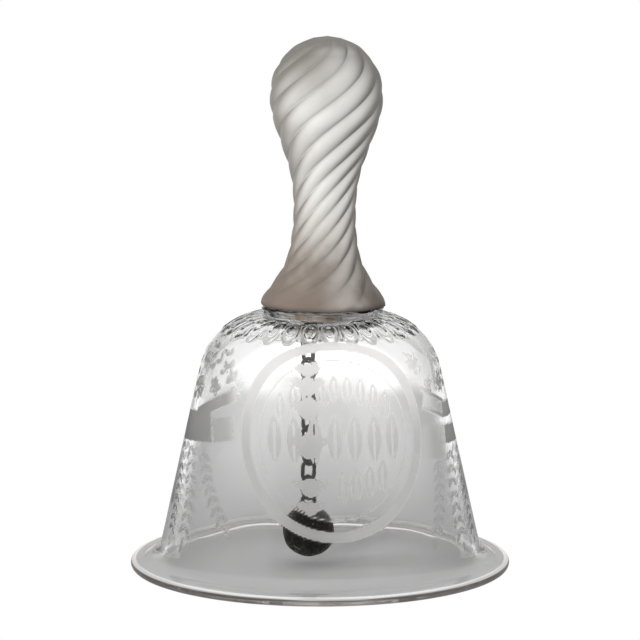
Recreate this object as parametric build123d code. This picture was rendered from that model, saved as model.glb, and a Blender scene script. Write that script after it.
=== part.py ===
from build123d import *
import math
import os

# A glass hand bell standing on its lip, in millimetres.
# The origin is on the bell's axis, at the bottom of the lip. +Z is up and the front faces -Y.

# Cup: blown clear glass
rim_radius = 43.1        # outermost edge of the turned-out lip
lip_roll = 0.95          # radius of the lip's rounded edge
contact_inner = 41.0     # inner edge of the flat ring that the bell stands on
flare_radius = 3.5       # hollow curve from the side into the lip, outside
lip_droop = 6.0          # degrees that the lip falls towards its edge
side_slope = 12.5        # degrees between the side and the vertical
shoulder_radius = 15.4   # round of the shoulder, outside
crown_flat = 12.3        # radius of the flat top of the crown
crown_top = 57.7
wall = 1.9
socket_radius = 5.4      # hole through the crown and up into the handle

# Handle: solid satin glass, twisted while soft
seal_height = 2.15       # folded ring of clear glass between the crown and the handle's foot
seal_radius = 14.4
seal_shift = 0.7         # the handle was set down a little to the right of the axis
handle_lean = 0.9        # degrees that it leans to the right
foot_radius = 14.2
neck_radius = 7.0
neck_height = 81.45
bulb_radius = 12.7
bulb_height = 106.4
top_height = 120.5
socket_top = 68.0

# Chain and clapper
wire = 0.96              # wire diameter
bend_radius = 1.72       # centre line of every bend in the wire
link_half_length = 2.47  # from a link's centre to the centre line of its bends
slack = 0.04             # gap between two wires that hang in each other
link_count = 9
hang_x = -2.6            # the wire was set a little to the left of the axis
hang_z = 50.6            # centre line of the bottom of the hanger's bend
chain_turn = 40.0        # degrees that the hanger's bend is turned about the vertical
hanger_top = 64.0
plug_bottom = 55.0
ball_radius = 6.0
eye_rise = 8.5           # from the ball's centre to the centre line of the eye's top
shank_depth = 3.9        # how far the eye's legs reach into the ball

wire_radius = wire / 2
seat = wire + slack      # between the centre lines of two wires that hang in each other
pitch = 2 * link_half_length - seat
seal_top = crown_top + seal_height


def polar(centre, radius, degrees):
    """The point at an angle on a circle, in the (radius, height) half plane."""
    angle = math.radians(degrees)
    return (centre[0] + radius * math.cos(angle), centre[1] + radius * math.sin(angle))


def between(low, high, part):
    """The height a part of the way up from one height to another."""
    return low + part * (high - low)


def spin(outline):
    """Turn a closed outline of (radius, height) points about the bell's axis."""
    return revolve(Plane.XZ * make_face(outline), Axis.Z)


def curve(centre, radius, start, end):
    """A round stretch of an outline between two angles."""
    middle = (start + end) / 2
    return ThreePointArc(*[polar(centre, radius, a) for a in (start, middle, end)])


def bell_cup():
    """Side, rounded shoulder and turned-out lip, one wall thick, with a hole in the crown."""
    shoulder = (crown_flat, crown_top - shoulder_radius)
    roll = (rim_radius - lip_roll, lip_roll)
    lip_end = 270 - lip_droop
    # The flare's centre lies one flare radius above the lip and one beside the straight side.
    slope = math.radians(side_slope)
    droop = math.radians(lip_droop)
    reach = flare_radius + lip_roll
    side = polar(shoulder, shoulder_radius, side_slope)
    # Centre (r, z): on the lip's offset line z = z0 - (r - r0) tan(droop), and on the side's.
    offset = polar(side, flare_radius, side_slope)
    lip_z = roll[1] + reach / math.cos(droop)
    height = ((lip_z + (roll[0] - offset[0] - offset[1] * math.tan(slope)) * math.tan(droop))
              / (1 - math.tan(slope) * math.tan(droop)))
    flare = (offset[0] + (offset[1] - height) * math.tan(slope), height)

    outer_shoulder = curve(shoulder, shoulder_radius, 90, side_slope)
    outer_flare = curve(flare, flare_radius, 180 + side_slope, lip_end)
    edge = ThreePointArc(polar(roll, lip_roll, lip_end - 180), polar(roll, lip_roll, 0),
                         polar(roll, lip_roll, 270))
    inner_flare = curve(flare, flare_radius + wall, lip_end, 180 + side_slope)
    inner_shoulder = curve(shoulder, shoulder_radius - wall, side_slope, 90)
    contact = (contact_inner, 0)
    crown_inner = (socket_radius, crown_top - wall)
    crown_outer = (socket_radius, crown_top)
    return spin([
        Line(crown_outer, outer_shoulder @ 0),
        outer_shoulder,
        Line(outer_shoulder @ 1, outer_flare @ 0),
        outer_flare,
        Line(outer_flare @ 1, edge @ 0),
        edge,
        Line(edge @ 1, contact),
        Line(contact, inner_flare @ 0),
        inner_flare,
        Line(inner_flare @ 1, inner_shoulder @ 0),
        inner_shoulder,
        Line(inner_shoulder @ 1, crown_inner),
        Line(crown_inner, crown_outer),
    ])


def twisted_handle():
    """Pear-shaped grip with a narrow neck and a spreading foot, with the plaster's socket."""
    top = (0, top_height)
    bulb = (bulb_radius, bulb_height)
    neck = (neck_radius, neck_height)
    foot_edge = (foot_radius, seal_top)
    crest = (0.68 * bulb_radius, between(bulb_height, top_height, 0.73))
    upper_grip = (0.82 * bulb_radius, between(neck_height, bulb_height, 0.633))
    lower_grip = (0.63 * bulb_radius, between(neck_height, bulb_height, 0.34))
    upper_foot = (0.58 * foot_radius, between(seal_top, neck_height, 0.484))
    lower_foot = (0.8 * foot_radius, between(seal_top, neck_height, 0.234))
    dome = Spline(top, crest, bulb, tangents=[(1, 0), (0, -1)])
    grip = Spline(bulb, upper_grip, lower_grip, neck, tangents=[(0, -1), (0, -1)])
    foot = Spline(neck, upper_foot, lower_foot, foot_edge, tangents=[(0, -1), (0.35, -1)])
    solid = spin([dome, grip, foot, Line(foot_edge, (0, seal_top)), Line((0, seal_top), top)])
    leaning = (Pos(seal_shift, 0, seal_top) * Rot(0, handle_lean, 0)
               * Pos(0, 0, -seal_top) * solid)
    socket = Pos(0, 0, crown_top) * Cylinder(socket_radius, socket_top - crown_top,
                                             align=(Align.CENTER, Align.CENTER, Align.MIN))
    return leaning - socket


def seal_wafer():
    """Flattened ring of clear glass with a rounded outer fold, moulded to the handle's foot."""
    fold = seal_height / 2
    low, high = seal_radius - fold, crown_top + fold
    outer = ThreePointArc((low, crown_top), (seal_radius, high), (low, seal_top))
    ring = spin([
        Line((0, crown_top), outer @ 0),
        outer,
        Line(outer @ 1, (0, seal_top)),
        Line((0, seal_top), (0, crown_top)),
    ])
    hole = Pos(0, 0, crown_top) * Cylinder(socket_radius, seal_height,
                                           align=(Align.CENTER, Align.CENTER, Align.MIN))
    return Pos(seal_shift, 0, 0) * ring - hole - twisted_handle()


def bent_wire(path):
    """Round wire along a path in the XZ plane."""
    start = Plane(origin=path @ 0, z_dir=path % 0)
    return sweep(start * Circle(wire_radius), path)


def staple(leg):
    """U of wire round the origin, its bend downward and its legs upward."""
    left, right = Vector(-bend_radius, 0, 0), Vector(bend_radius, 0, 0)
    rise = Vector(0, 0, leg)
    return bent_wire(Wire([
        Line(left + rise, left),
        ThreePointArc(left, (0, 0, -bend_radius), right),
        Line(right, right + rise),
    ]))


def hanger_wire():
    """U of wire that hangs out of the plaster, its bend at the bottom."""
    hook = staple(hanger_top - hang_z - bend_radius)
    return Pos(hang_x, 0, hang_z + bend_radius) * Rot(0, 0, chain_turn) * hook


def cement_plug():
    """Set plaster that fills the hole in the crown and the socket, round the hanger's legs."""
    filling = Cylinder(socket_radius - 0.05, socket_top - plug_bottom - 0.1,
                       align=(Align.CENTER, Align.CENTER, Align.MIN))
    edge = filling.edges().sort_by(Axis.Z)[0]
    return Pos(0, 0, plug_bottom) * fillet(edge, 0.8) - hanger_wire()


def chain_link(number):
    """Oval link, upright, turned a quarter from the link above it."""
    half = link_half_length - bend_radius
    left, right = Vector(-bend_radius, 0, 0), Vector(bend_radius, 0, 0)
    up, down = Vector(0, 0, half), Vector(0, 0, -half)
    link = bent_wire(Wire([
        Line(left + up, left + down),
        ThreePointArc(left + down, (0, 0, -link_half_length), right + down),
        Line(right + down, right + up),
        ThreePointArc(right + up, (0, 0, link_half_length), left + up),
    ]))
    centre = hang_z + seat - link_half_length - pitch * (number - 1)
    return Pos(hang_x, 0, centre) * Rot(0, 0, chain_turn + 90 * (number % 2)) * link


eye_top = hang_z - pitch * link_count + seat
ball_height = eye_top - eye_rise


def clapper_shank():
    """Eye of wire whose legs are set in the top of the ball, its bend upward."""
    leg = eye_rise - bend_radius - ball_radius + shank_depth
    turn = chain_turn + 90 * ((link_count + 1) % 2)
    return Pos(hang_x, 0, eye_top - bend_radius) * Rot(0, 0, turn) * Rot(0, 180, 0) * staple(leg)


def clapper_ball():
    """Solid metal ball with two holes for the staple."""
    return Pos(hang_x, 0, ball_height) * Sphere(ball_radius) - clapper_shank()


pieces = {
    "bell_cup": bell_cup(),
    "seal_wafer": seal_wafer(),
    "twisted_handle": twisted_handle(),
    "cement_plug": cement_plug(),
    "hanger_wire": hanger_wire(),
    "clapper_shank": clapper_shank(),
    "clapper_ball": clapper_ball(),
}
for number in range(1, link_count + 1):
    pieces[f"chain_link_{number}"] = chain_link(number)

os.makedirs("parts", exist_ok=True)
for name, solid in pieces.items():
    solid.label = name
    export_step(solid, f"parts/{name}.step")
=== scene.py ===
import math
import bpy
import numpy as np
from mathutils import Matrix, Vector


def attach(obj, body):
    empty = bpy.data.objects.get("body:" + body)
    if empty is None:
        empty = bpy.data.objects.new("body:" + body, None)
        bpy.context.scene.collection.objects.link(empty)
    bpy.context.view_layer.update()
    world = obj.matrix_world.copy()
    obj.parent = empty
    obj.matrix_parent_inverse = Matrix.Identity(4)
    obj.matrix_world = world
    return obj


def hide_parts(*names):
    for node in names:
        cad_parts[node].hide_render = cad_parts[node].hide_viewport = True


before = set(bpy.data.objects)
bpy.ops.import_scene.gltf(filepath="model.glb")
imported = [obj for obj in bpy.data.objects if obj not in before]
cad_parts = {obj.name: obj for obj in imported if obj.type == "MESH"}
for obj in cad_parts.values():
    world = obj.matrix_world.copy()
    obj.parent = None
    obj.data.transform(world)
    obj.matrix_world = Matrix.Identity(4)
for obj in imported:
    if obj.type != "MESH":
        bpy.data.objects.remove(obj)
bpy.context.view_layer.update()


# ---------------------------------------------------------------- bell cup
# The cup is blown soda glass, opened out at the mouth into a turned lip that
# was rounded in the fire. Its border is raised on the shoulder, and the wreath
# and the big ring on its front were etched with acid through a stencil.

mm = 0.001
rim_radius = 43.1
lip_roll = 0.95
contact_inner = 41.0
flare_radius = 3.5
lip_droop = math.radians(6)
side_slope = math.radians(12.5)
shoulder_radius = 15.4
crown_flat = 12.3
crown_top = 57.7
cup_wall = 1.9
socket_radius = 5.4
shoulder_centre = crown_top - shoulder_radius
crown_points = 5         # along each stretch of the wall's outside, from the crown to the lip
shoulder_points = 51
side_points = 111
flare_points = 11
lip_points = 3
edge_points = 13


def arc_points(centre, radius, start, end, count):
    """count points (radius, height) on a circle from one angle to another."""
    angle = np.linspace(start, end, count)
    return np.column_stack([centre[0] + radius * np.cos(angle), centre[1] + radius * np.sin(angle)])


def line_points(start, end, count):
    """count points on a straight stretch, without its last point."""
    step = np.linspace(0, 1, count, endpoint=False)[:, None]
    return np.asarray(start) + step * (np.asarray(end) - np.asarray(start))


def lathe_mesh(name, rings, low_pole=None, high_pole=None, closed=False):
    """Closed skin through rings of points, an array of (ring, place on the ring, xyz) in mm.
    Neighbouring rings are joined by quads. The last ring joins the first if closed, and
    otherwise each end ring is closed by a fan of triangles to its pole."""
    ring_count, around, _ = rings.shape
    points = rings.reshape(-1, 3)
    last = ring_count if closed else ring_count - 1
    row = np.arange(last)[:, None] * around
    above = ((np.arange(last) + 1) % ring_count)[:, None] * around
    here = np.arange(around)[None, :]
    beside = (here + 1) % around
    quads = np.stack([row + here, row + beside, above + beside, above + here], -1).reshape(-1, 4)
    caps = []
    if not closed:
        points = np.vstack([points, [low_pole, high_pole]])
        foot, head = len(points) - 2, len(points) - 1
        top = (ring_count - 1) * around
        caps = [np.stack([beside + 0 * here, here, np.full_like(here, foot)], -1).reshape(-1, 3),
                np.stack([top + here, top + beside, np.full_like(here, head)], -1).reshape(-1, 3)]
    corners = np.concatenate([quads.ravel()] + [cap.ravel() for cap in caps])
    sizes = np.concatenate([np.full(len(quads), 4)] + [np.full(len(cap), 3) for cap in caps])
    mesh = bpy.data.meshes.new(name)
    mesh.vertices.add(len(points))
    mesh.vertices.foreach_set("co", (points * mm).astype(np.float32).ravel())
    mesh.loops.add(len(corners))
    mesh.loops.foreach_set("vertex_index", corners.astype(np.int32))
    mesh.polygons.add(len(sizes))
    mesh.polygons.foreach_set("loop_start", (np.cumsum(sizes) - sizes).astype(np.int32))
    mesh.polygons.foreach_set("use_smooth", np.ones(len(sizes), bool))
    mesh.update(calc_edges=True)
    mesh.validate()
    made = bpy.data.objects.new(name, mesh)
    bpy.context.scene.collection.objects.link(made)
    return made


def cup_outline():
    """The wall's closed outline: down the outside, round the lip and up the inside."""
    shoulder = (crown_flat, shoulder_centre)
    roll = (rim_radius - lip_roll, lip_roll)
    side = arc_points(shoulder, shoulder_radius, side_slope, side_slope, 1)[0]
    offset = side + flare_radius * np.array([math.cos(side_slope), math.sin(side_slope)])
    lip_height = roll[1] + (flare_radius + lip_roll) / math.cos(lip_droop)
    tilt, fall = math.tan(side_slope), math.tan(lip_droop)
    height = (lip_height + (roll[0] - offset[0] - offset[1] * tilt) * fall) / (1 - tilt * fall)
    flare = (offset[0] + (offset[1] - height) * tilt, height)
    down = 1.5 * math.pi - lip_droop
    outer_shoulder = np.vstack([
        arc_points(shoulder, shoulder_radius, math.pi / 2, math.radians(78.5), 5),
        arc_points(shoulder, shoulder_radius, math.radians(77.5), math.radians(52.5), 27),
        arc_points(shoulder, shoulder_radius, math.radians(51), side_slope, 20)])
    outer_flare = arc_points(flare, flare_radius, math.pi + side_slope, down, flare_points + 1)
    edge = arc_points(roll, lip_roll, down - math.pi, -math.pi / 2, edge_points + 1)
    inner_flare = arc_points(flare, flare_radius + cup_wall, down, math.pi + side_slope, 8)
    inner_shoulder = arc_points(shoulder, shoulder_radius - cup_wall, side_slope, math.pi / 2, 14)
    return np.vstack([
        line_points((socket_radius, crown_top), outer_shoulder[0], crown_points),
        outer_shoulder[:-1],
        line_points(outer_shoulder[-1], outer_flare[0], side_points),
        outer_flare[:-1],
        line_points(outer_flare[-1], edge[0], lip_points),
        edge[:-1],
        line_points(edge[-1], (contact_inner, 0), 2),
        line_points((contact_inner, 0), inner_flare[0], 2),
        inner_flare[:-1],
        line_points(inner_flare[-1], inner_shoulder[0], 10),
        inner_shoulder[:-1],
        line_points(inner_shoulder[-1], (socket_radius, crown_top - cup_wall), 3),
        line_points((socket_radius, crown_top - cup_wall), (socket_radius, crown_top), 2),
    ])


# Angles run from the front (-Y) towards +X. They lie closest together on the etched front.
around = np.radians(np.concatenate([
    np.arange(-36, 52, 0.45), np.arange(52, 100, 1.0), np.arange(100, 260, 1.5),
    np.arange(260, 324, 1.0)]))
outline = cup_outline()
radius, height = outline[:, :1], outline[:, 1:]
outside_points = (crown_points + shoulder_points + side_points + flare_points + lip_points
                  + edge_points)
outside = np.arange(len(outline)) < outside_points


def blown_waves(angle, z, seed):
    """Slight unevenness of blown glass: a sum of a few long sine waves, about 1 at most."""
    phase = np.random.default_rng(seed).uniform(0, 2 * np.pi, 4)
    return (np.sin(2 * angle + 0.10 * z + phase[0]) + np.sin(3 * angle - 0.21 * z + phase[1])
            + 0.7 * np.sin(7 * angle + 0.33 * z + phase[2])
            + 0.5 * np.sin(11 * angle - 0.45 * z + phase[3])) / 3.2


wave = np.where(outside[:, None], blown_waves(around, height, 1), blown_waves(around, height, 2))
calm = np.clip((height - 3.0) / 8, 0, 1) * np.clip((crown_top - 2.5 - height) / 6, 0, 1)
uneven = radius + 0.07 * calm * (wave - 1)


def smooth_step(value, low, high):
    """0 below low, 1 above high, and a smooth rise between them."""
    t = np.clip((value - low) / (high - low), 0, 1)
    return t * t * (3 - 2 * t)


def raised_border(climb):
    """Height from 0 to 1 of the shoulder's border, a row of eggs with darts between them.
    An egg is the line where (aside / 1.25)^2 + (rise / 2.9)^2 = 1, in mm from its middle, and a
    dart is an upright line half way to the next egg."""
    rise = (climb - math.radians(65)) * shoulder_radius
    aside = 4.0 * ((around * egg_count / (2 * np.pi)) % 1 - 0.5)
    from_egg = np.abs(np.hypot(aside / 1.25, rise / 2.9) - 1) * 1.25
    from_dart = np.abs(np.abs(aside) - 2.0)
    egg = 1 - smooth_step(from_egg, 0.22, 0.62)
    dart = (1 - smooth_step(from_dart, 0.10, 0.50)) * (1 - smooth_step(np.abs(rise), 2.6, 3.0))
    return np.maximum(egg, dart)


egg_count = 28
border_height = 0.22
wall_angle = np.arctan2(height - shoulder_centre, np.maximum(radius - crown_flat, 0.001))
raised = border_height * raised_border(wall_angle) * outside[:, None]
bulging = uneven + raised * np.cos(wall_angle)
cup_rings = np.stack([bulging * np.sin(around), -bulging * np.cos(around),
                      height + raised * np.sin(wall_angle)], -1)[:, ::-1]
cup = lathe_mesh("bell_cup_glass", cup_rings, closed=True)
cup.visible_shadow = False
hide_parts("bell_cup")
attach(cup, "bell")

# The stencil, laid flat: across is the arc along the wall from the ring's centre, and up is
# the way up the wall from the lip, both in mm.
bend_start = shoulder_centre + shoulder_radius * math.sin(side_slope)
up = np.where(height < bend_start, height / math.cos(side_slope),
              bend_start / math.cos(side_slope) + shoulder_radius * (wall_angle - side_slope))
ring_angle = math.radians(6.3)
ring_up = 35.1
turned = (around + np.pi) % (2 * np.pi) - np.pi
across = radius * (turned - ring_angle)
up = up + 0 * across - ring_up


def band(distance):
    """Etched where a distance in mm is below nought, with an edge a quarter of a mm wide."""
    return np.clip(0.5 - distance / 0.25, 0, 1)


def hoop(inner, outer):
    """Ring between two radii round the centre of the stencil."""
    away = np.hypot(1.02 * across, 0.99 * up)
    return band(np.maximum(away - outer, inner - away))


def leaf(x, y, length, width, turn, vein=0.16):
    """Pointed leaf from its stalk end at (x, y): its half width is a sine along its length.
    A clear vein runs down the middle."""
    angle = math.radians(turn)
    along = (across - x) * math.cos(angle) + (up - y) * math.sin(angle)
    aside = np.abs((up - y) * math.cos(angle) - (across - x) * math.sin(angle))
    part = np.clip(along / length, 0, 1)
    edge = aside - width / 2 * np.sin(np.pi * part) ** 0.8
    ends = np.maximum(-along, along - length)
    return band(np.maximum(np.maximum(edge, ends), vein - aside - 9 * (part > 0.85)))


def strip(x, y, length, width, turn):
    """Straight band of ribbon centred on (x, y)."""
    angle = math.radians(turn)
    along = (across - x) * math.cos(angle) + (up - y) * math.sin(angle)
    aside = (up - y) * math.cos(angle) - (across - x) * math.sin(angle)
    return band(np.maximum(np.abs(along) - length / 2, np.abs(aside) - width / 2))


def spray(x, y, turn, bend, count, step, size):
    """Stalk that curves evenly, with a pair of leaves at every step and one at its tip."""
    marks = []
    for number in range(count):
        marks.append(strip(x, y, step, 0.32, turn))
        for side in (-1, 1):
            marks.append(leaf(x, y, size, size * 0.46, turn + side * 48, 0))
        turn += bend
        x += step * math.cos(math.radians(turn))
        y += step * math.sin(math.radians(turn))
    marks.append(leaf(x, y, size * 1.15, size * 0.46, turn, 0))
    return np.maximum.reduce(marks)


def flower(x, y, size, petals, turn=0):
    """Round bloom of leaf-shaped petals about a dot."""
    marks = [leaf(x, y, size, size * 0.62, turn + 360 * n / petals, 0.1) for n in range(petals)]
    marks.append(band(np.hypot(across - x, up - y) - 0.22 * size))
    return np.maximum.reduce(marks)


stencil = [hoop(19.9, 22.3), hoop(17.3, 17.6), 0.17 * hoop(-1, 17.6)]
# Upright leaves fill the ring in three tiers, the lowest set to the right.
for x, foot, length, width in (
        [(x, 7.8 - 0.028 * x * x, 6.4, 2.3) for x in np.arange(-12, 12.1, 3.0)]
        + [(x, -5.6, 11.0, 3.5) for x in np.arange(-13.5, 13.6, 4.5)]
        + [(x, -14.6 + 0.02 * x * x, 7.4, 2.7) for x in np.arange(1.5, 11.2, 3.1)]):
    stencil.append(leaf(x, foot, length, width, 90, 0.2))
# A string of berries, each between two leaves, climbs the ring's left half.
for y, berry, length in ((15.2, 1.5, 3.2), (11.7, 2.0, 4.2), (6.8, 2.4, 4.8), (-1.4, 2.7, 5.2),
                         (-10.4, 2.1, 4.6), (-15.0, 1.5, 3.4)):
    stencil += [band(np.hypot(across + 5.6, up - y) - berry),
                leaf(-5.6, y, length, 2.0, 18, 0), leaf(-5.6, y, length, 2.0, 162, 0)]
# Ribbons, flowers and sprays stand at both sides of the ring.
stencil += [
    strip(-31.0, 5.6, 16.5, 2.6, 22), strip(-40.5, -0.4, 18.0, 6.6, 6),
    0.75 * strip(-27.6, 0.6, 7.0, 5.2, 11),
    flower(-31.0, 9.6, 2.7, 5), flower(-39.5, 8.6, 3.2, 7), flower(-37.0, 14.6, 2.6, 6),
    spray(-22.5, 9.4, 128, -7, 4, 2.8, 2.8), spray(-24.5, 12.0, 156, -9, 3, 2.8, 2.6),
    spray(-44.5, 5.0, 84, 2, 5, 2.6, 3.4), spray(-33.0, 13.0, 100, -6, 3, 2.4, 2.6),
    0.8 * spray(-47.0, -4.8, -84, -2, 9, 2.3, 3.0), 0.7 * spray(-41.0, -5.0, -70, -5, 7, 2.9, 3.6),
    0.62 * spray(-34.0, -5.4, -80, 4, 7, 2.4, 2.8),
    flower(20.7, 15.6, 2.6, 6), flower(26.1, 9.9, 2.3, 5, 15), flower(33.0, 9.6, 2.6, 6),
    spray(23.0, 12.6, 118, 8, 2, 2.6, 2.4), spray(38.0, 7.6, 94, 2, 4, 2.6, 3.2),
    strip(28.4, 7.2, 11.5, 0.7, -21), strip(27.8, 3.5, 10.0, 0.6, -19),
    0.6 * strip(28.6, 5.3, 11.0, 4.2, -20), strip(39.5, 2.9, 14.0, 3.4, -3),
    strip(39.5, -2.7, 14.0, 4.0, -5), 0.5 * strip(27.0, -2.8, 9.5, 7.4, -4),
    0.8 * spray(41.0, -5.6, -92, 2, 9, 2.3, 3.0), 0.7 * spray(34.6, -6.0, -102, 4, 7, 2.9, 3.6),
    0.62 * spray(27.6, -7.4, -86, -3, 7, 2.3, 2.8),
]
etched = np.maximum.reduce(stencil) * (outside[:, None] & (height > 6.5) & (height < 56))
etched[:, np.abs(turned) > math.radians(97)] = 0
attribute = cup.data.attributes.new("etched", "FLOAT", "POINT")
attribute.data.foreach_set("value", etched[:, ::-1].astype(np.float32).ravel())


def new_material(name, colour, rough, metal=0.0, transmission=0.0):
    """A material with a Principled shader, with its node tree and shader."""
    material = bpy.data.materials.new(name)
    material.use_nodes = True
    tree = material.node_tree
    shader = next(node for node in tree.nodes if node.type == "BSDF_PRINCIPLED")
    shader.inputs["Base Color"].default_value = (*colour, 1)
    shader.inputs["Roughness"].default_value = rough
    shader.inputs["Metallic"].default_value = metal
    shader.inputs["Transmission Weight"].default_value = transmission
    return material, tree, shader


def wire_up(tree, target, value):
    """Sets a socket to a number or colour, or links an output to it."""
    if isinstance(value, bpy.types.NodeSocket):
        tree.links.new(value, target)
    else:
        target.default_value = value


def maths(tree, operation, *values, clamp=False):
    """Output of a Math node with these numbers or sockets as its inputs."""
    node = tree.nodes.new("ShaderNodeMath")
    node.operation = operation
    node.use_clamp = clamp
    for socket, value in zip(node.inputs, values):
        wire_up(tree, socket, value)
    return node.outputs[0]


def blend_colour(tree, factor, first, second):
    """Output of a colour Mix node."""
    node = tree.nodes.new("ShaderNodeMix")
    node.data_type = "RGBA"
    wire_up(tree, node.inputs["Factor"], factor)
    wire_up(tree, node.inputs["A"], first)
    wire_up(tree, node.inputs["B"], second)
    return node.outputs["Result"]


def ramp(tree, value, low, high, from_value=0.0, to_value=1.0):
    """Map Range node, smooth at both ends."""
    node = tree.nodes.new("ShaderNodeMapRange")
    node.interpolation_type = "SMOOTHSTEP"
    for socket, number in zip(node.inputs[1:5], (low, high, from_value, to_value)):
        socket.default_value = number
    tree.links.new(value, node.inputs["Value"])
    return node.outputs["Result"]


def mottle_group():
    """Node group shared by the materials: patches of noise as a mask, and the raw noise.
    Size is waves per metre, and the mask rises smoothly from 0 at Low to 1 at High."""
    group = bpy.data.node_groups.new("mottle", "ShaderNodeTree")
    for name, value in (("Size", 500.0), ("Detail", 4.0), ("Low", 0.4), ("High", 0.6)):
        socket = group.interface.new_socket(name, in_out="INPUT", socket_type="NodeSocketFloat")
        socket.default_value = value
    for name in ("Mask", "Height"):
        group.interface.new_socket(name, in_out="OUTPUT", socket_type="NodeSocketFloat")
    given, result = group.nodes.new("NodeGroupInput"), group.nodes.new("NodeGroupOutput")
    pattern = group.nodes.new("ShaderNodeTexNoise")
    pattern.inputs["Roughness"].default_value = 0.55
    place = group.nodes.new("ShaderNodeTexCoord")
    edge = group.nodes.new("ShaderNodeMapRange")
    edge.interpolation_type = "SMOOTHSTEP"
    for start, end in ((place.outputs["Object"], pattern.inputs["Vector"]),
                       (given.outputs["Size"], pattern.inputs["Scale"]),
                       (given.outputs["Detail"], pattern.inputs["Detail"]),
                       (pattern.outputs["Fac"], edge.inputs["Value"]),
                       (given.outputs["Low"], edge.inputs["From Min"]),
                       (given.outputs["High"], edge.inputs["From Max"]),
                       (edge.outputs["Result"], result.inputs["Mask"]),
                       (pattern.outputs["Fac"], result.inputs["Height"])):
        group.links.new(start, end)
    return group


mottle = mottle_group()


def mottled(tree, size, detail=4.0, low=0.4, high=0.6):
    """Outputs Mask and Height of the mottle group with these numbers."""
    node = tree.nodes.new("ShaderNodeGroup")
    node.node_tree = mottle
    for name, value in (("Size", size), ("Detail", detail), ("Low", low), ("High", high)):
        node.inputs[name].default_value = value
    return node.outputs


def bump(tree, shader, height, strength, distance):
    """Bump node on the shader's Normal, distance in metres."""
    node = tree.nodes.new("ShaderNodeBump")
    node.inputs["Strength"].default_value = strength
    node.inputs["Distance"].default_value = distance
    tree.links.new(height, node.inputs["Height"])
    tree.links.new(node.outputs["Normal"], shader.inputs["Normal"])
    return node


clear_glass, tree, shader = new_material("clear_etched_glass", (0.99, 0.99, 0.99), 0.0, 0, 1.0)
shader.inputs["IOR"].default_value = 1.5
stencilled = tree.nodes.new("ShaderNodeAttribute")
stencilled.attribute_name = "etched"
frost = stencilled.outputs["Fac"]
cloud = ramp(tree, mottled(tree, 260, 5, 0.2, 0.45)["Mask"], 0, 1, 0.85, 1.0)
frosted = maths(tree, "MULTIPLY", frost, cloud)
tree.links.new(ramp(tree, frosted, 0.35, 0.9, 0.0, 0.6), shader.inputs["Roughness"])
# Painted light: the etched glass glows by emission, most on the shoulder and least at the sides.
split = tree.nodes.new("ShaderNodeSeparateXYZ")
tree.links.new(tree.nodes.new("ShaderNodeTexCoord").outputs["Object"], split.inputs[0])
x, y, z = split.outputs
from_ring = maths(tree, "ABSOLUTE", maths(tree, "SUBTRACT", x, 0.0024))
painted_side_dimming = ramp(tree, from_ring, 0.0205, 0.0235, 1.0, 0.28)
painted_glow = blend_colour(tree, ramp(tree, z, 0.030, 0.052), (0.21, 0.208, 0.207, 1),
                    (0.50, 0.49, 0.48, 1))
painted_glow = blend_colour(tree, maths(tree, "MULTIPLY", frosted, painted_side_dimming), (0, 0, 0, 1), painted_glow)
# Painted highlight and painted shade: the lip's rounded edge glows bright above and dim below, and
# is greyer.
away = maths(tree, "SQRT", maths(tree, "ADD", maths(tree, "MULTIPLY", x, x),
                                 maths(tree, "MULTIPLY", y, y)))
painted_lip_band = ramp(tree, away, 0.0416, 0.0421)
painted_lip_light_and_shade = blend_colour(tree, ramp(tree, z, 0.00145, 0.00165), (0.09, 0.080, 0.073, 1),
                        (0.48, 0.47, 0.46, 1))
painted_glow = blend_colour(tree, painted_lip_band, painted_glow, painted_lip_light_and_shade)
tint = blend_colour(tree, frosted, (0.99, 0.99, 0.99, 1), (0.26, 0.257, 0.254, 1))
tree.links.new(blend_colour(tree, painted_lip_band, tint, (0.45, 0.44, 0.43, 1)), shader.inputs["Base Color"])
tree.links.new(painted_glow, shader.inputs["Emission Color"])
shader.inputs["Emission Strength"].default_value = 1.0
bump(tree, shader, maths(tree, "MULTIPLY", mottled(tree, 3200, 2)["Height"], frosted), 1.0,
     0.000026)
cup.data.materials.append(clear_glass)


# ---------------------------------------------------------------- twisted handle
# The grip is a solid gather of glass, marked by a ribbed mould and then twisted
# while soft, so ten folds wind up it. Acid left the whole of it satin.

handle_profile = np.array([
    [119.9, 3.2], [118.8, 6.0], [116.5, 8.9], [113.5, 11.2], [110.0, 12.4], [106.4, 12.7],
    [102.5, 12.2], [98.5, 10.9], [94.0, 9.3], [90.0, 8.0], [86.0, 7.3], [81.45, 7.05],
    [77.0, 7.2], [73.0, 7.75], [70.0, 8.5], [67.5, 9.7], [65.0, 11.2], [62.5, 13.0],
    [60.95, 13.9], [60.05, 14.15]])
fold_count = 10
handle_around = 400
handle_rings = 240
seal_shift = 0.7
handle_lean = math.radians(0.9)
handle_foot = 59.85
first_ring = 60.05
last_ring = 119.9
handle_pole = 120.4


def smooth_curve(stations, values, at):
    """Cubic Hermite curve through the stations, its slopes the central differences."""
    slope = np.gradient(values, stations)
    place = np.clip(np.searchsorted(stations, at) - 1, 0, len(stations) - 2)
    gap = stations[place + 1] - stations[place]
    t = (at - stations[place]) / gap
    return ((2 * t**3 - 3 * t**2 + 1) * values[place] + (t**3 - 2 * t**2 + t) * gap * slope[place]
            + (3 * t**2 - 2 * t**3) * values[place + 1] + (t**3 - t**2) * gap * slope[place + 1])


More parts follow.
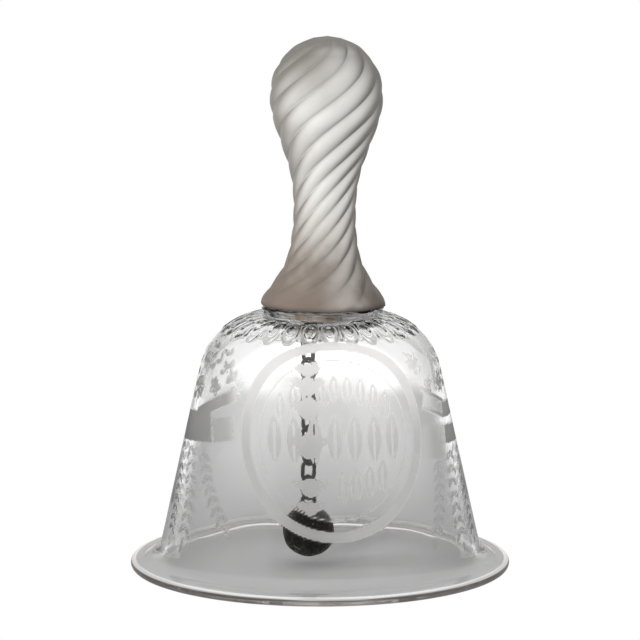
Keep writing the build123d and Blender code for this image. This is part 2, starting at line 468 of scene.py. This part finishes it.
def handle_surface():
    """r(z) less the depth of the folds. A fold is |sin(5 (angle - turn(z)))|, so the valleys
    are sharp and the ridges round. turn(z) sums the twist, which is tightest at the neck."""
    rise = np.linspace(0, 1, handle_rings)
    z = first_ring + (last_ring - first_ring) * (1 - (1 - rise) ** 1.25)
    r = smooth_curve(handle_profile[::-1, 0], handle_profile[::-1, 1], z)
    twist = 0.137 - 0.029 * smooth_step(z, 89, 99)
    turn = np.concatenate([[0], np.cumsum((twist[1:] + twist[:-1]) / 2 * np.diff(z))])
    turn += math.radians(-10.5) - np.interp(103.8, z, turn)
    angle = np.linspace(0, 2 * np.pi, handle_around, endpoint=False)
    phase = fold_count / 2 * (angle[None, :] - turn[:, None])
    fold = 1 - np.abs(np.sin(phase)) ** 0.75
    depth = 0.75 * smooth_step(r, 2, 9) * (1 - 0.75 * smooth_step(-z, -65, -61))
    skin = r[:, None] - depth[:, None] * fold
    place = np.stack([skin * np.sin(angle), -skin * np.cos(angle), z[:, None] + 0 * angle], -1)
    return place, fold * smooth_step(depth, 0, 0.5)[:, None]


def lean(points):
    """The handle's small lean to the right, about the middle of its foot."""
    up = points[..., 2] - handle_foot
    return np.stack([
        seal_shift + points[..., 0] * math.cos(handle_lean) + up * math.sin(handle_lean),
        points[..., 1],
        handle_foot + up * math.cos(handle_lean) - points[..., 0] * math.sin(handle_lean)], -1)


skin, groove = handle_surface()
handle = lathe_mesh("twisted_handle_glass", lean(skin),
                    lean(np.array([0, 0, handle_foot])), lean(np.array([0, 0, handle_pole])))
grooved = handle.data.attributes.new("groove", "FLOAT", "POINT")
grooved.data.foreach_set("value", np.concatenate([groove.ravel(), [0, 0]]).astype(np.float32))
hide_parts("twisted_handle")
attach(handle, "bell")
satin_glass, tree, shader = new_material("satin_glass", (0.85, 0.84, 0.82), 0.5, 0, 0.25)
shader.inputs["Specular IOR Level"].default_value = 0.15
# Painted shade: the glass is brightest where it faces the viewer and darkens towards its outline.
facing = tree.nodes.new("ShaderNodeLayerWeight")
facing.inputs["Blend"].default_value = 0.5
painted_outline_shade = ramp(tree, facing.outputs["Facing"], 0.06, 0.6)
body = blend_colour(tree, painted_outline_shade, (0.70, 0.686, 0.655, 1), (0.265, 0.250, 0.230, 1))
# Painted shade: the dome is darker towards its top and on its left, and the foot darker and browner
# low down, less so on its right.
split = tree.nodes.new("ShaderNodeSeparateXYZ")
tree.links.new(tree.nodes.new("ShaderNodeTexCoord").outputs["Object"], split.inputs[0])
dome_shade_by_side = ramp(tree, split.outputs["X"], -0.004, 0.008, 1.0, 0.25)
painted_dome_shade = maths(tree, "MULTIPLY", dome_shade_by_side, ramp(tree, split.outputs["Z"], 0.102, 0.118, 0.0, 0.88))
body = blend_colour(tree, painted_dome_shade, body, (0.16, 0.148, 0.132, 1))
# Painted shade on the foot, strongest at its bottom and lighter on its right.
foot_shade_by_side = ramp(tree, split.outputs["X"], -0.001, 0.007, 1.0, 0.55)
foot = maths(tree, "MULTIPLY", foot_shade_by_side, ramp(tree, split.outputs["Z"], 0.060, 0.088, 1.0, 0.0))
body = blend_colour(tree, foot, body, (0.195, 0.154, 0.124, 1))
tinted = mottled(tree, 95, 4, 0.42, 0.68)["Mask"]
low_down = ramp(tree, split.outputs["Z"], 0.060, 0.082, 0.9, 0.10)
body = blend_colour(tree, maths(tree, "MULTIPLY", tinted, low_down), body, (0.17, 0.138, 0.112, 1))
fold_mark = tree.nodes.new("ShaderNodeAttribute")
fold_mark.attribute_name = "groove"
shadow = ramp(tree, fold_mark.outputs["Fac"], 0.30, 1.0, 0.0, 0.20)
body = blend_colour(tree, shadow, body, (0.22, 0.207, 0.19, 1))
edge = ramp(tree, split.outputs["Z"], 0.0598, 0.0612, 0.8, 0.0)
body = blend_colour(tree, edge, body, (0.05, 0.042, 0.036, 1))
tree.links.new(body, shader.inputs["Base Color"])
tree.links.new(ramp(tree, mottled(tree, 420, 4)["Height"], 0.3, 0.7, 0.42, 0.6),
               shader.inputs["Roughness"])
bump(tree, shader, mottled(tree, 2600, 3)["Height"], 0.25, 0.00015)
handle.data.materials.append(satin_glass)


# ---------------------------------------------------------------- glass seal
# A flattened ring of clear glass was laid on the crown while hot, and the handle
# was pressed into it. It spread in a few uneven folds round the handle's foot.

seal_around = 240
seal_angle = np.linspace(0, 2 * np.pi, seal_around, endpoint=False)
seal_ring = np.array([
    [5.5, 57.72], [9.0, 57.72], [12.4, 57.72], [13.2, 57.8], [13.75, 58.05], [13.9, 58.35],
    [13.6, 58.6], [13.55, 58.75], [13.9, 58.95], [14.0, 59.2], [13.75, 59.45], [13.2, 59.56],
    [12.0, 59.57], [9.0, 59.57], [5.5, 59.57], [5.5, 58.6]])


def seal_surface():
    """A folded ring: its outline carried round the axis, its outer half pushed in and out
    by sine waves of the angle, and the fold between its two lobes made to wander."""
    angle = seal_angle[None, :]
    out = smooth_step(seal_ring[:, :1], 11.0, 13.6)
    push = (0.30 * np.sin(3 * angle + 0.6)
            + 0.22 * np.sin(7 * angle + 2.1 + 1.5 * (seal_ring[:, 1:] - 58))
            + 0.10 * np.sin(17 * angle + 0.4))
    sway = 0.16 * np.sin(4 * angle + 1.0) + 0.12 * np.sin(9 * angle + 2.6)
    lobe = (out * smooth_step(seal_ring[:, 1:], 57.8, 58.5)
            * smooth_step(-seal_ring[:, 1:], -59.55, -59.0))
    r = seal_ring[:, :1] + out * (push - 0.25)
    z = seal_ring[:, 1:] + lobe * sway
    return np.stack([seal_shift + r * np.sin(angle), -r * np.cos(angle), z + 0 * angle], -1)


seal = lathe_mesh("glass_seal", seal_surface(), closed=True)
seal.visible_shadow = False
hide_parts("seal_wafer")
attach(seal, "bell")
seal_glass, tree, shader = new_material("seal_glass", (0.97, 0.96, 0.95), 0.0, 0, 1.0)
shader.inputs["IOR"].default_value = 1.5
tree.links.new(ramp(tree, mottled(tree, 300, 3)["Height"], 0.3, 0.75, 0.0, 0.12),
               shader.inputs["Roughness"])
tree.links.new(blend_colour(tree, mottled(tree, 140, 4, 0.35, 0.7)["Mask"],
                            (0.98, 0.975, 0.97, 1), (0.80, 0.76, 0.72, 1)),
               shader.inputs["Base Color"])
bump(tree, shader, mottled(tree, 420, 2)["Height"], 0.35, 0.0006)
seal.data.materials.append(seal_glass)


# ---------------------------------------------------------------- plaster plug
# Plaster was poured into the hole through the crown and set round the hanger's
# legs. It is off-white, with rust from the wire, and a little uneven below.

plug_around = 96
plug_radius = 5.25
plug_low, plug_high = 55.05, 67.85


def plug_surface():
    """A round stopper whose lower face bulges and is lumpy: r and z along its outline,
    with sine lumps in the angle that fade above the crown."""
    angle = np.linspace(0, 2 * np.pi, plug_around, endpoint=False)[None, :]
    outline = np.vstack([
        np.column_stack([np.linspace(0.4, 4.4, 10), plug_low + 0.35 - 0.3 * np.linspace(1, 0, 10)]),
        arc_points((4.45, plug_low + 1.1), 0.8, -math.pi / 2, 0, 8),
        np.column_stack([np.full(14, plug_radius),
                         np.linspace(plug_low + 1.6, plug_high - 0.5, 14)]),
        arc_points((plug_radius - 0.5, plug_high - 0.5), 0.5, 0, math.pi / 2, 5)[1:],
        np.column_stack([np.linspace(4.2, 0.5, 5), np.full(5, plug_high)])])
    r, z = outline[:, :1], outline[:, 1:]
    lump = smooth_step(-z, -57.5, -55.6) * (np.sin(5 * angle + r) + 0.7 * np.sin(9 * angle - 2 * r)
                                            + 0.5 * np.sin(3 * angle + 3 * r)) / 2.2
    return np.stack([(r * (1 - 0.012 * (1 + lump))) * np.sin(angle),
                     -(r * (1 - 0.012 * (1 + lump))) * np.cos(angle), z + 0.14 * (lump + 1)
                     * smooth_step(-z, -57.5, -55.6)], -1)


plug = lathe_mesh("plaster_plug", plug_surface(), (0, 0, plug_low + 0.1), (0, 0, plug_high))
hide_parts("cement_plug")
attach(plug, "bell")
plaster, tree, shader = new_material("set_plaster", (0.7, 0.66, 0.6), 0.85)
stain = mottled(tree, 420, 5, 0.42, 0.66)["Mask"]
tree.links.new(blend_colour(tree, stain, (0.72, 0.69, 0.63, 1), (0.33, 0.20, 0.12, 1)),
               shader.inputs["Base Color"])
bump(tree, shader, mottled(tree, 1900, 5)["Height"], 0.7, 0.0003)
plug.data.materials.append(plaster)


# ---------------------------------------------------------------- hanger wire
# Iron wire bent to a U. Its legs are buried in the plaster and its bend hangs
# below, as the eye that carries the chain.

wire_radius = 0.48
bend_radius = 1.72
hang_x = -2.6
hang_z = 50.6
chain_turn = math.radians(40)
hanger_top = 64.0
around_wire = 16


def wire_mesh(name, path, turn, closed):
    """Round wire along a path of (side, z) points in an upright plane turned about the
    vertical. Each ring is centre + r (cos a normal + sin a across), and r has slight dents."""
    direction = np.array([math.cos(turn), math.sin(turn), 0])
    across_wire = np.array([-math.sin(turn), math.cos(turn), 0])
    centre = (path[:, :1] * direction + path[:, 1:] * np.array([0, 0, 1])
              + np.array([hang_x, 0, 0]))
    if closed:
        tangent = np.roll(centre, -1, 0) - np.roll(centre, 1, 0)
    else:
        tangent = np.gradient(centre, axis=0)
    tangent /= np.linalg.norm(tangent, axis=1)[:, None]
    normal = np.cross(across_wire, tangent)
    angle = np.linspace(0, 2 * np.pi, around_wire, endpoint=False)[None, :, None]
    place = np.arange(len(path))[:, None, None] * 0.9
    dents = np.sin(place * 0.7 + path[0, 1])
    thickness = wire_radius * (0.985 + 0.015 * dents * np.sin(angle + place))
    if closed:
        # The link's ends meet in a fine seam, half way up one side.
        seam = np.exp(-((np.arange(len(path)) - 2.0) / 0.8) ** 2)[:, None, None]
        thickness = thickness * (1 - 0.16 * seam)
    rings = centre[:, None] + thickness * (np.cos(angle) * normal[:, None]
                                           + np.sin(angle) * across_wire[None, None])
    if closed:
        return lathe_mesh(name, rings, closed=True)
    return lathe_mesh(name, rings, centre[0], centre[-1])


def hook_path(bend_z, leg, sense, steps=26):
    """U in (side, z): a leg, a half circle round (0, bend_z) and a leg. Sense 1 opens up."""
    swing = np.linspace(math.pi, 0, steps)
    down = bend_z + sense * np.linspace(leg, 0, 12, endpoint=False)
    up = bend_z + sense * np.linspace(0, leg, 13)[1:]
    return np.vstack([
        np.column_stack([np.full(12, -bend_radius), down]),
        np.column_stack([bend_radius * np.cos(swing),
                         bend_z - sense * bend_radius * np.sin(swing)]),
        np.column_stack([np.full(12, bend_radius), up])])


hanger_bend = hang_z + bend_radius
hanger = wire_mesh("hanger_hook", hook_path(hanger_bend, hanger_top - hang_z - bend_radius, 1),
                   chain_turn, False)
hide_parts("hanger_wire")
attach(hanger, "bell")

worn_wire, tree, shader = new_material("worn_wire", (0.03, 0.027, 0.024), 0.4, 0.4)
shader.inputs["Specular IOR Level"].default_value = 0.15
tarnish = mottled(tree, 900, 5, 0.45, 0.62)["Mask"]
tree.links.new(blend_colour(tree, tarnish, (0.022, 0.020, 0.018, 1), (0.009, 0.007, 0.006, 1)),
               shader.inputs["Base Color"])
tree.links.new(ramp(tree, mottled(tree, 1400, 4)["Height"], 0.3, 0.7, 0.3, 0.65),
               shader.inputs["Roughness"])
bump(tree, shader, mottled(tree, 4200, 4)["Height"], 0.5, 0.00012)
hanger.data.materials.append(worn_wire)


# ---------------------------------------------------------------- chain
# Nine oval links of the same iron wire, each bent round the one above it and
# closed with a butt joint. Neighbours hang a quarter turn from each other.

link_count = 9
link_half_length = 2.47
seat = 1.0
pitch = 2 * link_half_length - seat


def link_path(centre_z):
    """Stadium in (side, z): two half circles joined by two short straights."""
    half = link_half_length - bend_radius
    swing = np.linspace(0, math.pi, 22)
    side, rise = bend_radius * np.cos(swing), bend_radius * np.sin(swing)
    return np.vstack([
        np.column_stack([np.full(5, bend_radius), centre_z + np.linspace(-half, half, 5)]),
        np.column_stack([side, centre_z + half + rise])[1:],
        np.column_stack([np.full(4, -bend_radius), centre_z + np.linspace(half, -half, 5)[1:]]),
        np.column_stack([-side, centre_z - half - rise])[1:-1]])


for number in range(1, link_count + 1):
    centre_z = hang_z + seat - link_half_length - pitch * (number - 1)
    link = wire_mesh(f"oval_link_{number}", link_path(centre_z),
                     chain_turn + math.pi / 2 * (number % 2), True)
    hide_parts(f"chain_link_{number}")
    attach(link, f"link_{number}")
    link.data.materials.append(worn_wire)


# ---------------------------------------------------------------- clapper
# A cast iron ball, blackened, with bright specks painted into its colour as glints. A wire
# eye is set in its top.

ball_radius = 6.0
ball_pole = 5.92
eye_rise = 8.5
eye_leg = 4.6
eye_top = hang_z - pitch * link_count + seat
ball_height = eye_top - eye_rise
ball_centre = np.array([hang_x, 0, ball_height])

shank = wire_mesh("clapper_eye", hook_path(eye_top - bend_radius, eye_leg, -1), chain_turn,
                  False)
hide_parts("clapper_shank")
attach(shank, "clapper")
shank.data.materials.append(worn_wire)


def ball_surface(rings=120, around_ball=200):
    """Sphere with a fine casting seam round its middle, and shallow dents from a sum of sine
    lumps."""
    climb = np.linspace(-math.pi / 2, math.pi / 2, rings + 2)[1:-1, None]
    angle = np.linspace(0, 2 * np.pi, around_ball, endpoint=False)[None, :]
    x, y = np.cos(climb) * np.cos(angle), np.cos(climb) * np.sin(angle)
    z = np.sin(climb) + 0 * angle
    lumps = (np.sin(9 * x + 4 * y) * np.sin(8 * z - 3 * x)
             + np.sin(17 * y - 11 * z) * np.sin(13 * x + 5)
             + 0.6 * np.sin(31 * x + 7 * z) * np.sin(29 * y + 3))
    seam = np.exp(-((0.4 * x + 0.3 * y + z - 0.1) / 0.02) ** 2)
    r = ball_radius * (0.985 + 0.004 * lumps + 0.004 * seam)
    return ball_centre + r[..., None] * np.stack([x, y, z], -1)


ball = lathe_mesh("iron_ball", ball_surface(), ball_centre - (0, 0, ball_pole),
                  ball_centre + (0, 0, ball_pole))
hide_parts("clapper_ball")
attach(ball, "clapper")
dark_iron, tree, shader = new_material("blackened_iron", (0.008, 0.007, 0.006), 0.35, 0.3)
shader.inputs["Specular IOR Level"].default_value = 0.1
# Painted glints: bright specks in the ball's colour.
painted_glint_specks = mottled(tree, 1500, 3, 0.60, 0.70)["Mask"]
rust = mottled(tree, 380, 4, 0.55, 0.7)["Mask"]
rusty_black = blend_colour(tree, rust, (0.006, 0.0055, 0.005, 1), (0.030, 0.020, 0.012, 1))
tree.links.new(blend_colour(tree, painted_glint_specks, rusty_black, (0.22, 0.20, 0.17, 1)), shader.inputs["Base Color"])
tree.links.new(ramp(tree, mottled(tree, 700, 4)["Height"], 0.35, 0.7, 0.22, 0.6),
               shader.inputs["Roughness"])
bump(tree, shader, mottled(tree, 1300, 6)["Height"], 0.9, 0.0004)
ball.data.materials.append(dark_iron)


# ---------------------------------------------------------------- floor, light and camera
# A table painted darker towards the bell and at its sides as painted shade, with a faint painted
# glow far out, and a graded studio light the glass. The camera itself sees both as plain white.

def stage_plane(name, size):
    """A square floor, size metres wide, a hair's breadth under the bell."""
    mesh = bpy.data.meshes.new(name)
    h, gap = size / 2, 0.00015
    mesh.from_pydata([(-h, -h, -gap), (h, -h, -gap), (h, h, -gap), (-h, h, -gap)], [],
                     [(0, 1, 2, 3)])
    made = bpy.data.objects.new(name, mesh)
    bpy.context.scene.collection.objects.link(made)
    return made


floor_reach = 0.32       # metres from the axis at which the floor's colour ramp ends
# Painted shade: the floor's colour darkens towards the bell.
floor_shade_stops = ((0.080, 0.49), (0.130, 0.42), (0.158, 0.36), (0.48, 0.60), (0.72, 0.70),
               (0.93, 0.97))
floor = stage_plane("floor", 20)
floor_painted_shade, tree, shader = new_material("floor_painted_shade", (0.8, 0.8, 0.8), 0.9)
shader.inputs["Specular IOR Level"].default_value = 0.0
spot = tree.nodes.new("ShaderNodeVectorMath")
spot.operation = "LENGTH"
tree.links.new(tree.nodes.new("ShaderNodeTexCoord").outputs["Object"], spot.inputs[0])
paint = tree.nodes.new("ShaderNodeValToRGB")
tree.links.new(maths(tree, "DIVIDE", spot.outputs["Value"], floor_reach), paint.inputs["Fac"])
for stop, (place, tone) in enumerate(floor_shade_stops):
    mark = paint.color_ramp.elements[stop] if stop < 2 else paint.color_ramp.elements.new(place)
    mark.position = place
    mark.color = (tone, tone, tone, 1)
split = tree.nodes.new("ShaderNodeSeparateXYZ")
tree.links.new(tree.nodes.new("ShaderNodeTexCoord").outputs["Object"], split.inputs[0])
# Painted shade: the floor is darker out to the left and right.
painted_side_shade = ramp(tree, maths(tree, "ABSOLUTE", split.outputs["X"]), 0.018, 0.060, 0.0, 0.42)
tree.links.new(blend_colour(tree, painted_side_shade, paint.outputs["Color"], (0.12, 0.12, 0.12, 1)),
               shader.inputs["Base Color"])
# Painted light: far from the bell the floor glows a little.
tree.links.new(ramp(tree, spot.outputs["Value"], 0.23, 0.31, 0.0, 0.35),
               shader.inputs["Emission Strength"])
shader.inputs["Emission Color"].default_value = (1, 1, 1, 1)
# Seen straight on, the table is as white as the studio.
paper = tree.nodes.new("ShaderNodeEmission")
paper.inputs["Color"].default_value = (1, 1, 1, 1)
paper.inputs["Strength"].default_value = 1.0
sight = tree.nodes.new("ShaderNodeLightPath").outputs["Is Camera Ray"]
either = tree.nodes.new("ShaderNodeMixShader")
tree.links.new(sight, either.inputs[0])
tree.links.new(shader.outputs[0], either.inputs[1])
tree.links.new(paper.outputs[0], either.inputs[2])
tree.links.new(either.outputs[0], tree.nodes["Material Output"].inputs["Surface"])
floor.data.materials.append(floor_painted_shade)

world = bpy.data.worlds.new("studio")
bpy.context.scene.world = world
world.use_nodes = True
sky = world.node_tree
split = sky.nodes.new("ShaderNodeSeparateXYZ")
sky.links.new(sky.nodes.new("ShaderNodeTexCoord").outputs["Generated"], split.inputs[0])
toward_x, toward_y, height_part = split.outputs
studio = blend_colour(sky, ramp(sky, height_part, 0.05, 0.8), (0.55, 0.547, 0.543, 1),
                      (1.1, 1.1, 1.1, 1))
# The room in front of the bell and to its sides is dark, up to about half way overhead.
below = ramp(sky, height_part, 0.30, 0.46, 1, 0)
low = maths(sky, "MULTIPLY", below, ramp(sky, height_part, 0.02, 0.15))
front = maths(sky, "MULTIPLY", ramp(sky, toward_y, -0.86, -0.66, 0.93, 0), low)
side = maths(sky, "MULTIPLY", ramp(sky, maths(sky, "ABSOLUTE", toward_x), 0.45, 0.75, 0, 0.45),
             below)
studio = blend_colour(sky, maths(sky, "MAXIMUM", front, side), studio, (0.02, 0.02, 0.02, 1))
seen = sky.nodes.new("ShaderNodeLightPath").outputs["Is Camera Ray"]
sky.links.new(blend_colour(sky, seen, studio, (1, 1, 1, 1)),
              sky.nodes["Background"].inputs["Color"])
sky.nodes["Background"].inputs["Strength"].default_value = 1.0


def soft_lamp(name, place, aim, size, power):
    """A rectangular area lamp in metres that faces a point, and does not show in the glass."""
    data = bpy.data.lights.new(name, "AREA")
    data.shape = "RECTANGLE"
    data.size, data.size_y = size
    data.energy = power
    lamp = bpy.data.objects.new(name, data)
    lamp.location = place
    lamp.rotation_euler = (Vector(aim) - Vector(place)).to_track_quat("-Z", "Y").to_euler()
    lamp.visible_glossy = False
    lamp.visible_transmission = False
    lamp.visible_camera = False
    bpy.context.scene.collection.objects.link(lamp)
    return lamp


soft_lamp("lamp_front", (-0.32, -0.84, 0.20), (0, 0, 0.09), (0.35, 0.30), 6.0)
soft_lamp("lamp_left", (-0.62, -0.14, 0.30), (0, 0, 0.08), (0.25, 0.25), 1.6)

camera_data = bpy.data.cameras.new("camera")
camera_data.lens = 196.54
camera_data.sensor_width = 36
camera = bpy.data.objects.new("camera", camera_data)
camera.location = (0, -0.780, 0.17595)
camera.rotation_euler = (math.radians(90 - 8.723), 0, 0)
bpy.context.scene.collection.objects.link(camera)
bpy.context.scene.camera = camera
bpy.context.scene.view_settings.view_transform = "Standard"
